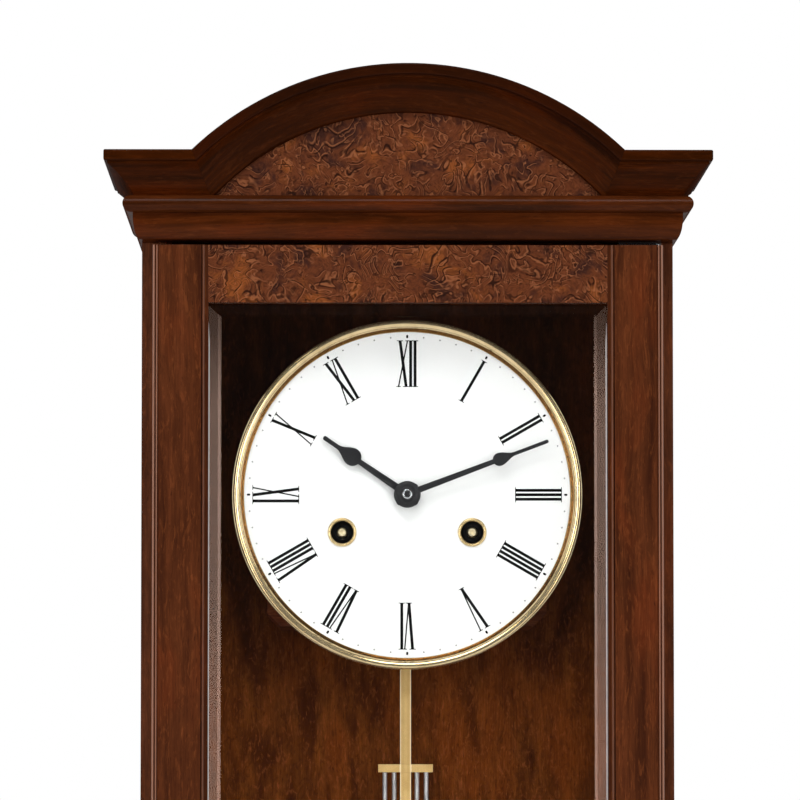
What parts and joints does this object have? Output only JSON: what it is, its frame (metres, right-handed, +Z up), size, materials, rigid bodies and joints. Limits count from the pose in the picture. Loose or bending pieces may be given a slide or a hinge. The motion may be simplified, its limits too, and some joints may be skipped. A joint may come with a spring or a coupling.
{
  "type": "wall clock",
  "caption": "Arched walnut wall clock with a glazed door, Roman dial in a brass bezel, two winding trains, a bell strike and a gridiron pendulum.",
  "frame": {"origin": "centre of the hanger's keyhole on the wall plane", "axes": "+Z up, +Y into the wall, the dial and door face -Y, +X to the right seen from the front"},
  "size_m": [0.3268, 0.1636, 0.7264],
  "materials": {
    "walnut": "satin lacquered walnut",
    "burl": "lacquered burl walnut veneer",
    "glass": "clear glass",
    "dial_white": "satin white paint",
    "hand_black": "satin black paint",
    "brass": "polished brass",
    "steel": "bright steel",
    "bell_metal": "plated bell",
    "magnet_black": "matt ferrite"
  },
  "bodies": {
    "case": {"back_board": "walnut", "side_frame_left": "walnut", "side_frame_right": "walnut", "side_glass": "glass", "cornice_board": "walnut", "bottom_board": "walnut", "bed_moulding": "walnut", "base_moulding": "walnut", "base_plinth": "walnut", "crown_arch": "walnut", "crown_shoulders": "walnut", "pediment_panel": "burl", "wall_hanger": "steel", "seat_board": "walnut", "seat_brackets": "walnut", "door_magnet": "magnet_black", "door_pivots": "brass", "front_plate": "brass", "back_plate": "brass", "plate_pillars": "brass", "dial_plate": "dial_white", "dial_bezel": "brass", "winding_grommets": "brass", "suspension_cock": "brass", "bell": "bell_metal", "bell_stand": "bell_metal"},
    "door": {"door_stile_left": "walnut", "door_stile_right": "walnut", "door_top_rail": "walnut", "door_bottom_rail": "walnut", "door_burl": "burl", "door_glass": "glass", "glass_beads": "walnut", "pivot_plates": "brass", "catch_plate": "steel"},
    "minute": {"centre_wheel": "brass", "minute_hand": "hand_black", "hand_nut": "steel"},
    "hour": {"hour_wheel": "brass", "hour_hand": "hand_black"},
    "minute_wheel": {"minute_wheel": "brass"},
    "time_barrel": {"time_barrel": "brass"},
    "time_winding": {"time_winding_arbor": "steel"},
    "second_wheel": {"second_wheel": "brass"},
    "third_wheel": {"third_wheel": "brass"},
    "escape_wheel": {"escape_wheel": "brass"},
    "anchor": {"anchor": "steel"},
    "strike_barrel": {"strike_barrel": "brass"},
    "strike_winding": {"strike_winding_arbor": "steel"},
    "pin_wheel": {"pin_wheel": "brass"},
    "gathering_wheel": {"gathering_wheel": "brass"},
    "fly": {"fly": "brass"},
    "hammer": {"strike_hammer": "brass"},
    "time_click": {"time_click": "steel"},
    "strike_click": {"strike_click": "steel"},
    "pendulum": {"suspension_spring": "steel", "pendulum_rod": "brass", "gridiron_rods": "steel", "pendulum_bob": "brass"},
    "rating_nut": {"rating_nut": "brass"}
  },
  "joints": [
    {"name": "door_swing", "type": "hinge", "parent": "case", "child": "door", "pos_m": [0.1342, -0.1275, -0.27095], "axis": [0, 0, 1], "range_deg": [0, 90]},
    {"name": "minute_turn", "type": "hinge", "parent": "case", "child": "minute", "pos_m": [0, -0.07, -0.118], "axis": [0, 1, 0], "continuous": true},
    {"name": "hour_turn", "type": "hinge", "parent": "case", "child": "hour", "pos_m": [0, -0.07, -0.118], "axis": [0, 1, 0], "continuous": true},
    {"name": "minute_wheel_turn", "type": "hinge", "parent": "case", "child": "minute_wheel", "pos_m": [0, -0.07, -0.13], "axis": [0, 1, 0], "continuous": true},
    {"name": "time_barrel_turn", "type": "hinge", "parent": "case", "child": "time_barrel", "pos_m": [0.0353, -0.07, -0.1384], "axis": [0, 1, 0], "continuous": true},
    {"name": "second_wheel_turn", "type": "hinge", "parent": "case", "child": "second_wheel", "pos_m": [0.01832, -0.07, -0.1206], "axis": [0, 1, 0], "continuous": true},
    {"name": "third_wheel_turn", "type": "hinge", "parent": "case", "child": "third_wheel", "pos_m": [0.00808, -0.07, -0.10192], "axis": [0, 1, 0], "continuous": true},
    {"name": "escape_wheel_turn", "type": "hinge", "parent": "case", "child": "escape_wheel", "pos_m": [0, -0.07, -0.09], "axis": [0, 1, 0], "continuous": true},
    {"name": "pin_wheel_turn", "type": "hinge", "parent": "case", "child": "pin_wheel", "pos_m": [-0.01832, -0.07, -0.1206], "axis": [0, 1, 0], "continuous": true},
    {"name": "strike_barrel_turn", "type": "hinge", "parent": "case", "child": "strike_barrel", "pos_m": [-0.0353, -0.07, -0.1384], "axis": [0, 1, 0], "continuous": true},
    {"name": "gathering_wheel_turn", "type": "hinge", "parent": "case", "child": "gathering_wheel", "pos_m": [-0.02807, -0.07, -0.10668], "axis": [0, 1, 0], "continuous": true},
    {"name": "fly_turn", "type": "hinge", "parent": "case", "child": "fly", "pos_m": [-0.02167, -0.07, -0.09559], "axis": [0, 1, 0], "continuous": true},
    {"name": "time_winding_turn", "type": "hinge", "parent": "case", "child": "time_winding", "pos_m": [0.0353, -0.07, -0.1384], "axis": [0, 1, 0], "range_deg": [0, 2520]},
    {"name": "strike_winding_turn", "type": "hinge", "parent": "case", "child": "strike_winding", "pos_m": [-0.0353, -0.07, -0.1384], "axis": [0, 1, 0], "range_deg": [0, 2520]},
    {"name": "time_click_lift", "type": "hinge", "parent": "case", "child": "time_click", "pos_m": [0.02952, -0.09, -0.12753], "axis": [0, -1, 0], "range_deg": [0, 12], "stiffness_Nm_per_rad": 0.001, "springref_deg": -11.46},
    {"name": "strike_click_lift", "type": "hinge", "parent": "case", "child": "strike_click", "pos_m": [-0.04108, -0.09, -0.12753], "axis": [0, -1, 0], "range_deg": [0, 12], "stiffness_Nm_per_rad": 0.001, "springref_deg": -11.46},
    {"name": "hammer_lift", "type": "hinge", "parent": "case", "child": "hammer", "pos_m": [-0.046, -0.07, -0.102], "axis": [0, 1, 0], "range_deg": [0, 10], "stiffness_Nm_per_rad": 0.02, "springref_deg": -8.59},
    {"name": "pendulum_swing", "type": "hinge", "parent": "case", "child": "pendulum", "pos_m": [0, -0.038, -0.073], "axis": [0, 1, 0], "range_deg": [-3.5, 3.5]},
    {"name": "anchor_rock", "type": "hinge", "parent": "case", "child": "anchor", "pos_m": [0, -0.06, -0.073], "axis": [0, 1, 0], "range_deg": [-3.5, 3.5]},
    {"name": "rating_nut_turn", "type": "hinge", "parent": "pendulum", "child": "rating_nut", "pos_m": [0, -0.038, -0.484], "axis": [0, 0, 1], "continuous": true}
  ],
  "couplings": [
    {"joint": "hour_turn", "follows": "minute_turn", "ratio": 0.083333},
    {"joint": "minute_wheel_turn", "follows": "minute_turn", "ratio": -0.33333},
    {"joint": "second_wheel_turn", "follows": "minute_turn", "ratio": -0.15625},
    {"joint": "time_barrel_turn", "follows": "minute_turn", "ratio": 0.021701},
    {"joint": "third_wheel_turn", "follows": "minute_turn", "ratio": -9},
    {"joint": "escape_wheel_turn", "follows": "minute_turn", "ratio": 72},
    {"joint": "strike_barrel_turn", "follows": "pin_wheel_turn", "ratio": -0.13889},
    {"joint": "gathering_wheel_turn", "follows": "pin_wheel_turn", "ratio": -7.5},
    {"joint": "fly_turn", "follows": "pin_wheel_turn", "ratio": 52.5},
    {"joint": "anchor_rock", "follows": "pendulum_swing", "ratio": 1}
  ]
}
